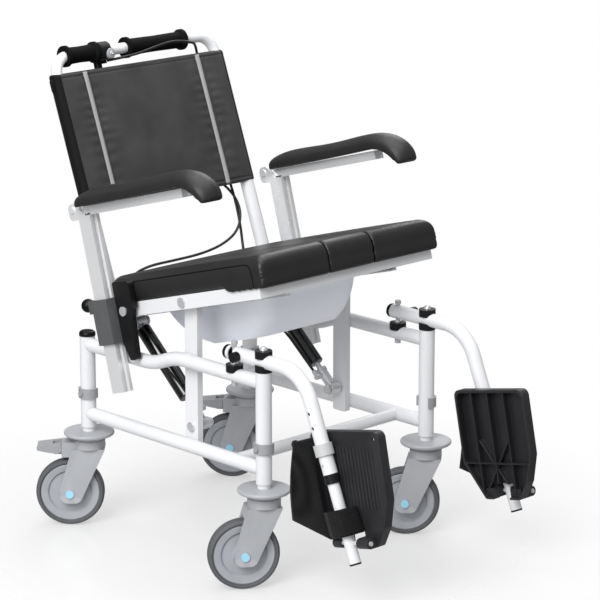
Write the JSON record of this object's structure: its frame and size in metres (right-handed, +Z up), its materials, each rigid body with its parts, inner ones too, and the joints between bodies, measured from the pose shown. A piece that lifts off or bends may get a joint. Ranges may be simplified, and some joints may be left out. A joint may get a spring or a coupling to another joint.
{
  "type": "tilting shower commode wheelchair",
  "caption": "Wheeled shower and toilet chair with a gas-spring tilting seat, lift-out insert, slide-out pan, fold-up armrests and swing-away footrests.",
  "frame": {"origin": "on the floor, midway between the four leg axes", "axes": "+Z up, the sitter faces -Y, +X is the sitter's left"},
  "size_m": [0.5499, 0.8771, 0.8688],
  "materials": {
    "white_powder_coat": "semi-gloss",
    "black_plastic": "satin",
    "grey_plastic": "satin",
    "dark_rubber": "matte",
    "black_rubber": "matte",
    "bright_steel": "bright",
    "black_enamel": "gloss",
    "black_upholstery": "satin",
    "cover_fabric": "woven",
    "webbing": "woven",
    "pan_plastic": "semi-gloss",
    "satin_aluminium": "satin",
    "soft_foam": "matte"
  },
  "bodies": {
    "base": {"leg_tubes": "white_powder_coat", "side_rails": "white_powder_coat", "tilt_posts": "white_powder_coat", "leg_caps": "black_plastic", "height_clips": "grey_plastic", "frame_bolts": "bright_steel"},
    "stems": {"leg_stems": "white_powder_coat", "bumper_discs": "grey_plastic"},
    "seat": {"seat_frame": "white_powder_coat", "back_tubes": "white_powder_coat", "push_bar": "white_powder_coat", "backrest_cover": "cover_fabric", "seat_pad": "black_upholstery", "push_grips": "black_rubber", "lever_clamp": "black_plastic", "arm_sleeves": "grey_plastic", "rear_brackets": "black_plastic", "seat_bolts": "bright_steel", "release_cables": "black_rubber"},
    "lever": {"tilt_lever": "black_plastic"},
    "pan": {"commode_pan": "pan_plastic"},
    "insert": {"seat_insert": "black_upholstery"},
    "caster_front_right": {"fork_front_right": "grey_plastic"},
    "roller_front_right": {"wheel_front_right": "grey_plastic", "tyre_front_right": "dark_rubber"},
    "caster_rear_right": {"fork_rear_right": "grey_plastic"},
    "roller_rear_right": {"wheel_rear_right": "grey_plastic", "tyre_rear_right": "dark_rubber"},
    "pedal_rear_right": {"brake_pedal_rear_right": "grey_plastic"},
    "caster_front_left": {"fork_front_left": "grey_plastic"},
    "roller_front_left": {"wheel_front_left": "grey_plastic", "tyre_front_left": "dark_rubber"},
    "caster_rear_left": {"fork_rear_left": "grey_plastic"},
    "roller_rear_left": {"wheel_rear_left": "grey_plastic", "tyre_rear_left": "dark_rubber"},
    "pedal_rear_left": {"brake_pedal_rear_left": "grey_plastic"},
    "gas_rod_right": {"gas_rod_right": "bright_steel"},
    "gas_cylinder_right": {"gas_cylinder_right": "black_enamel"},
    "arm_post_right": {"arm_post_right": "satin_aluminium"},
    "arm_right": {"arm_bar_right": "satin_aluminium", "arm_pad_right": "soft_foam"},
    "plunger_right": {"plunger_right": "black_plastic"},
    "hanger_right": {"hanger_tube_right": "white_powder_coat", "hanger_fittings_right": "black_plastic", "heel_strap_right": "webbing"},
    "knob_right": {"latch_knob_right": "black_plastic"},
    "foot_right": {"foot_tube_right": "white_powder_coat"},
    "plate_right": {"footplate_right": "black_plastic"},
    "gas_rod_left": {"gas_rod_left": "bright_steel"},
    "gas_cylinder_left": {"gas_cylinder_left": "black_enamel"},
    "arm_post_left": {"arm_post_left": "satin_aluminium"},
    "arm_left": {"arm_bar_left": "satin_aluminium", "arm_pad_left": "soft_foam"},
    "plunger_left": {"plunger_left": "black_plastic"},
    "hanger_left": {"hanger_tube_left": "white_powder_coat", "hanger_fittings_left": "black_plastic", "heel_strap_left": "webbing"},
    "knob_left": {"latch_knob_left": "black_plastic"},
    "foot_left": {"foot_tube_left": "white_powder_coat"},
    "plate_left": {"footplate_left": "black_plastic"}
  },
  "joints": [
    {"name": "seat_tilt", "type": "hinge", "parent": "base", "child": "seat", "pos_m": [0, -0.035, 0.469], "axis": [-1, 0, 0], "range_deg": [-15.7, 4.3], "deforming": ["release_cables"]},
    {"name": "leg_height", "type": "slide", "parent": "base", "child": "stems", "axis": [0, 0, -1], "range_m": [0, 0.1]},
    {"name": "tilt_lever_squeeze", "type": "hinge", "parent": "seat", "child": "lever", "pos_m": [-0.081, 0.35078, 0.83943], "axis": [0, 0.2706, 0.9627], "range_deg": [0, 8], "stiffness_Nm_per_rad": 0.6},
    {"name": "pan_slide", "type": "slide", "parent": "seat", "child": "pan", "axis": [0, 0.9627, -0.2706], "range_m": [0, 0.3]},
    {"name": "insert_lift", "type": "slide", "parent": "seat", "child": "insert", "axis": [0, 0.2706, 0.9627], "range_m": [0, 0.1]},
    {"name": "swivel_front_right", "type": "hinge", "parent": "stems", "child": "caster_front_right", "pos_m": [-0.2, -0.2325, 0.16], "axis": [0, 0, 1], "continuous": true},
    {"name": "roll_front_right", "type": "hinge", "parent": "caster_front_right", "child": "roller_front_right", "pos_m": [-0.22984, -0.21237, 0.0625], "axis": [-0.5592, -0.829, 0], "continuous": true},
    {"name": "swivel_rear_right", "type": "hinge", "parent": "stems", "child": "caster_rear_right", "pos_m": [-0.2, 0.2325, 0.16], "axis": [0, 0, 1], "continuous": true},
    {"name": "roll_rear_right", "type": "hinge", "parent": "caster_rear_right", "child": "roller_rear_right", "pos_m": [-0.22633, 0.25705, 0.0625], "axis": [-0.682, -0.7314, 0], "continuous": true},
    {"name": "brake_rear_right", "type": "hinge", "parent": "caster_rear_right", "child": "pedal_rear_right", "pos_m": [-0.24169, 0.27137, 0.1437], "axis": [-0.682, -0.7314, 0], "range_deg": [0, 12]},
    {"name": "swivel_front_left", "type": "hinge", "parent": "stems", "child": "caster_front_left", "pos_m": [0.2, -0.2325, 0.16], "axis": [0, 0, 1], "continuous": true},
    {"name": "roll_front_left", "type": "hinge", "parent": "caster_front_left", "child": "roller_front_left", "pos_m": [0.17591, -0.20575, 0.0625], "axis": [-0.7431, -0.6691, 0], "continuous": true},
    {"name": "swivel_rear_left", "type": "hinge", "parent": "stems", "child": "caster_rear_left", "pos_m": [0.2, 0.2325, 0.16], "axis": [0, 0, 1], "continuous": true},
    {"name": "roll_rear_left", "type": "hinge", "parent": "caster_rear_left", "child": "roller_rear_left", "pos_m": [0.17784, 0.26087, 0.0625], "axis": [-0.788, -0.6157, 0], "continuous": true},
    {"name": "brake_rear_left", "type": "hinge", "parent": "caster_rear_left", "child": "pedal_rear_left", "pos_m": [0.16491, 0.27742, 0.1437], "axis": [-0.788, -0.6157, 0], "range_deg": [0, 12]},
    {"name": "gas_rod_turn_right", "type": "hinge", "parent": "base", "child": "gas_rod_right", "pos_m": [-0.16, -0.035, 0.241], "axis": [-1, 0, 0], "range_deg": [-7, 2.5]},
    {"name": "gas_cylinder_slide_right", "type": "slide", "parent": "gas_rod_right", "child": "gas_cylinder_right", "axis": [0, 0.7471, 0.6647], "range_m": [-0.016, 0.05]},
    {"name": "arm_height_right", "type": "slide", "parent": "seat", "child": "arm_post_right", "axis": [0, 0.2706, 0.9627], "range_m": [0, 0.07]},
    {"name": "arm_fold_right", "type": "hinge", "parent": "arm_post_right", "child": "arm_right", "pos_m": [-0.232, 0.215, 0.59713], "axis": [-1, 0, 0], "range_deg": [0, 100]},
    {"name": "plunger_pull_right", "type": "slide", "parent": "seat", "child": "plunger_right", "axis": [0, 0.9627, -0.2706], "range_m": [0, 0.008], "stiffness_N_per_m": 600},
    {"name": "hanger_swing_right", "type": "hinge", "parent": "base", "child": "hanger_right", "pos_m": [-0.2, -0.2325, 0.402], "axis": [0, 0, -1], "range_deg": [0, 110]},
    {"name": "latch_pull_right", "type": "slide", "parent": "hanger_right", "child": "knob_right", "axis": [-1, 0, 0], "range_m": [0, 0.005], "stiffness_N_per_m": 500},
    {"name": "foot_height_right", "type": "slide", "parent": "hanger_right", "child": "foot_right", "axis": [0, -0.3827, -0.9239], "range_m": [-0.03, 0.05], "deforming": ["heel_strap_right"]},
    {"name": "footplate_fold_right", "type": "hinge", "parent": "foot_right", "child": "plate_right", "pos_m": [-0.2, -0.43953, 0.1313], "axis": [0, 0.9781, -0.2079], "range_deg": [0, 90], "deforming": ["heel_strap_right"]},
    {"name": "gas_rod_turn_left", "type": "hinge", "parent": "base", "child": "gas_rod_left", "pos_m": [0.16, -0.035, 0.241], "axis": [-1, 0, 0], "range_deg": [-7, 2.5]},
    {"name": "gas_cylinder_slide_left", "type": "slide", "parent": "gas_rod_left", "child": "gas_cylinder_left", "axis": [0, 0.7471, 0.6647], "range_m": [-0.016, 0.05]},
    {"name": "arm_height_left", "type": "slide", "parent": "seat", "child": "arm_post_left", "axis": [0, 0.2706, 0.9627], "range_m": [0, 0.07]},
    {"name": "arm_fold_left", "type": "hinge", "parent": "arm_post_left", "child": "arm_left", "pos_m": [0.232, 0.215, 0.59713], "axis": [-1, 0, 0], "range_deg": [0, 100]},
    {"name": "plunger_pull_left", "type": "slide", "parent": "seat", "child": "plunger_left", "axis": [0, 0.9627, -0.2706], "range_m": [0, 0.008], "stiffness_N_per_m": 600},
    {"name": "hanger_swing_left", "type": "hinge", "parent": "base", "child": "hanger_left", "pos_m": [0.2, -0.2325, 0.402], "axis": [0, 0, 1], "range_deg": [0, 110]},
    {"name": "latch_pull_left", "type": "slide", "parent": "hanger_left", "child": "knob_left", "axis": [1, 0, 0], "range_m": [0, 0.005], "stiffness_N_per_m": 500},
    {"name": "foot_height_left", "type": "slide", "parent": "hanger_left", "child": "foot_left", "axis": [0, -0.3827, -0.9239], "range_m": [-0.03, 0.05], "deforming": ["heel_strap_left"]},
    {"name": "footplate_fold_left", "type": "hinge", "parent": "foot_left", "child": "plate_left", "pos_m": [0.2, -0.43953, 0.1313], "axis": [0, -0.9781, 0.2079], "range_deg": [0, 90], "deforming": ["heel_strap_left"]}
  ],
  "couplings": [
    {"joint": "gas_rod_turn_right", "follows": "seat_tilt", "ratio": 0.36},
    {"joint": "gas_cylinder_slide_right", "follows": "seat_tilt", "m_per_rad": -0.165},
    {"joint": "gas_rod_turn_left", "follows": "seat_tilt", "ratio": 0.36},
    {"joint": "gas_cylinder_slide_left", "follows": "seat_tilt", "m_per_rad": -0.165}
  ]
}
